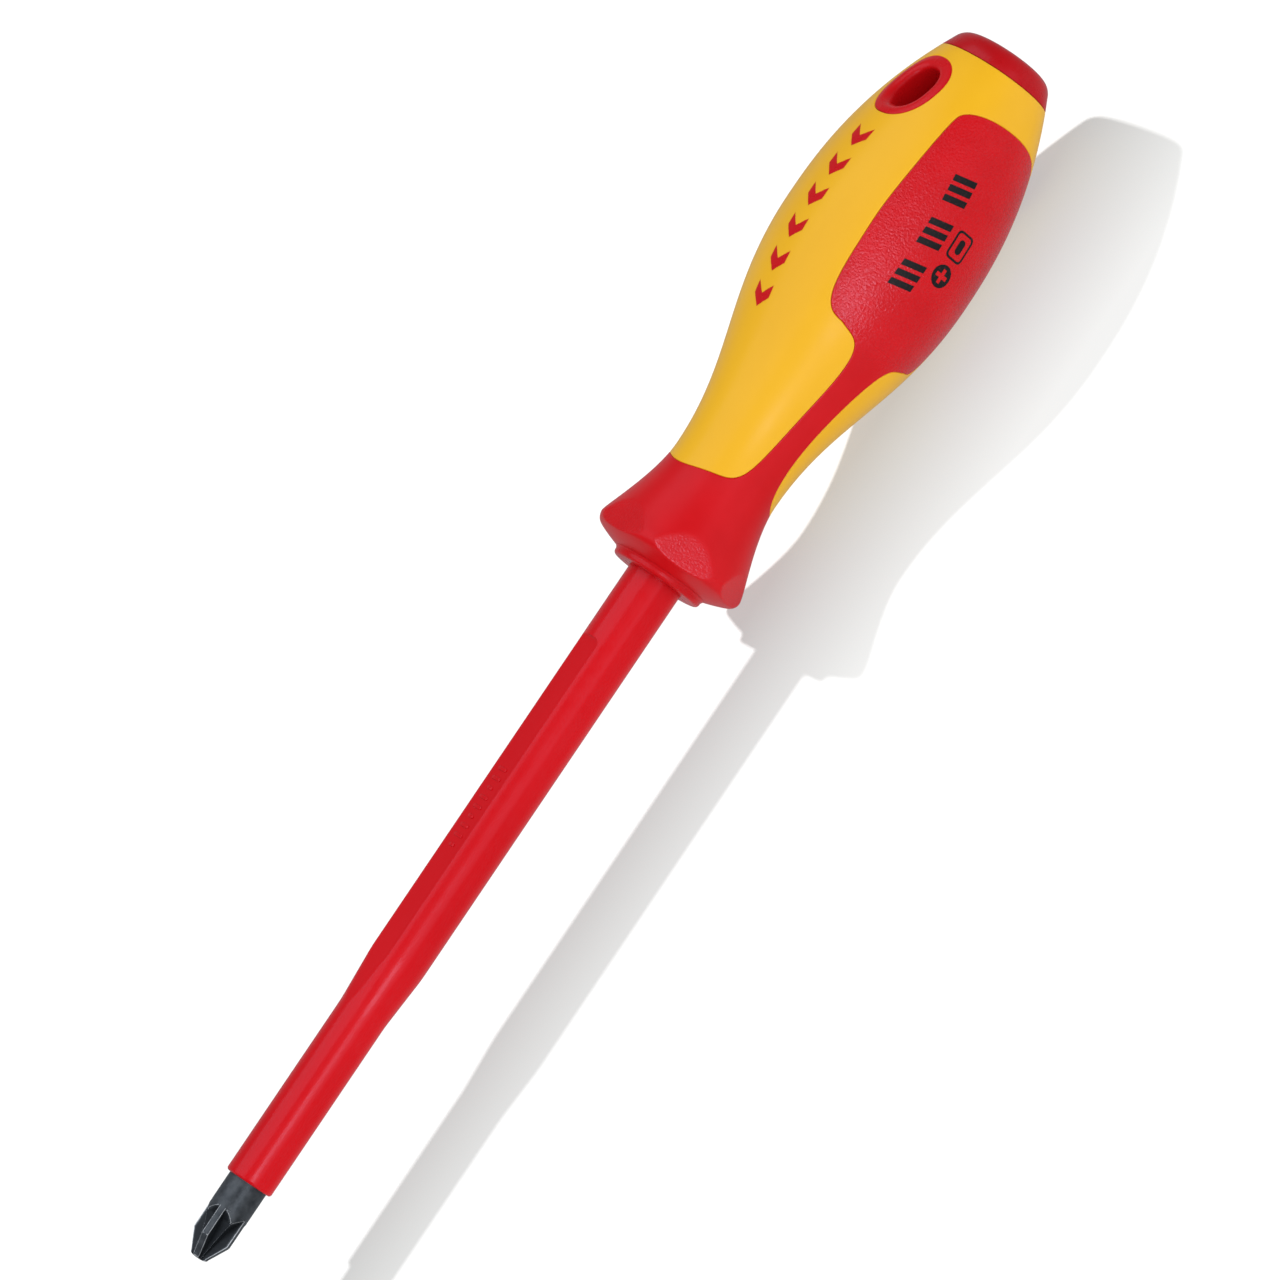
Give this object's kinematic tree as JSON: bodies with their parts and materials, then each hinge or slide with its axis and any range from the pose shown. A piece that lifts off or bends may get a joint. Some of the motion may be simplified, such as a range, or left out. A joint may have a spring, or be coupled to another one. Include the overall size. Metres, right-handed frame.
{
  "type": "insulated screwdriver",
  "caption": "Insulated cross-point screwdriver with a red sleeved blade, a hexagonal guard and a yellow and red handle with a hanging hole.",
  "frame": {"origin": "middle of the tip's flat end, on the blade's axis", "axes": "+X runs along the tool from the tip to the butt, +Z along the hanging hole through the cheek with the inlaid marks, +Y and -Y through the middles of the two soft panels"},
  "size_m": [0.27, 0.0394, 0.0394],
  "materials": {
    "blade_steel": "dark burnished, bright on the worn edges",
    "sleeve_plastic": "smooth semi-gloss",
    "red_plastic": "smooth satin",
    "yellow_plastic": "smooth satin",
    "soft_red": "fine spark-eroded grain"
  },
  "bodies": {
    "root": {"blade": "blade_steel", "blade_sleeve": "sleeve_plastic", "nose_collar": "red_plastic", "handle_core": "red_plastic", "hanger_eye": "red_plastic", "handle_shell": "yellow_plastic", "soft_grip": "soft_red", "end_cap": "red_plastic", "mark_inlay_1": "red_plastic", "mark_inlay_2": "red_plastic", "mark_inlay_3": "red_plastic", "mark_inlay_4": "red_plastic", "mark_inlay_5": "red_plastic", "mark_inlay_6": "red_plastic"}
  },
  "joints": []
}
